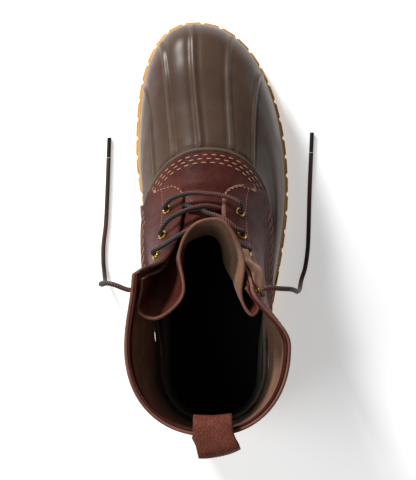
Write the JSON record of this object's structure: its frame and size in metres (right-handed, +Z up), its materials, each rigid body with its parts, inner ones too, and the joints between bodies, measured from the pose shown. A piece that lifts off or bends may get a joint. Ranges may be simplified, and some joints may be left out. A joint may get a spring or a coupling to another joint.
{
  "type": "duck boot",
  "caption": "Lace-up duck boot for the right foot, with a ribbed rubber shell, a gum lug sole, a leather shaft, a bellows tongue and a pull loop.",
  "frame": {"origin": "on the ground under the middle of the heel", "axes": "+Y from the heel to the toe, +Z up from the ground, +X to the outer side of the right foot"},
  "size_m": [0.1612, 0.3044, 0.2092],
  "materials": {
    "gum_rubber": "matt tan gum rubber",
    "brown_rubber": "satin brown rubber",
    "brown_leather": "waxed full-grain leather",
    "suede_side_of_the_leather": "napped",
    "black_lining": "matt knit",
    "brass": "aged brass",
    "dark_cord": "braided cord",
    "lace_tip": "dark hard sleeve"
  },
  "bodies": {
    "root": {"eyelet_inner_1": "brass", "eyelet_inner_2": "brass", "eyelet_inner_3": "brass", "eyelet_inner_4": "brass", "eyelet_inner_5": "brass", "eyelet_inner_6": "brass", "eyelet_outer_1": "brass", "eyelet_outer_2": "brass", "eyelet_outer_3": "brass", "eyelet_outer_4": "brass", "eyelet_outer_5": "brass", "eyelet_outer_6": "brass", "insole": "black_lining", "lace_bar": "dark_cord", "lace_crossing": "dark_cord", "lace_end_inner": "dark_cord", "lace_end_outer": "dark_cord", "lace_tip_inner": "lace_tip", "lace_tip_outer": "lace_tip", "outsole": "gum_rubber", "pull_loop": "brown_leather", "rubber_shell": "brown_rubber", "tongue": "suede_side_of_the_leather", "upper": "brown_leather", "lace_upper_bar": "dark_cord"}
  },
  "joints": []
}
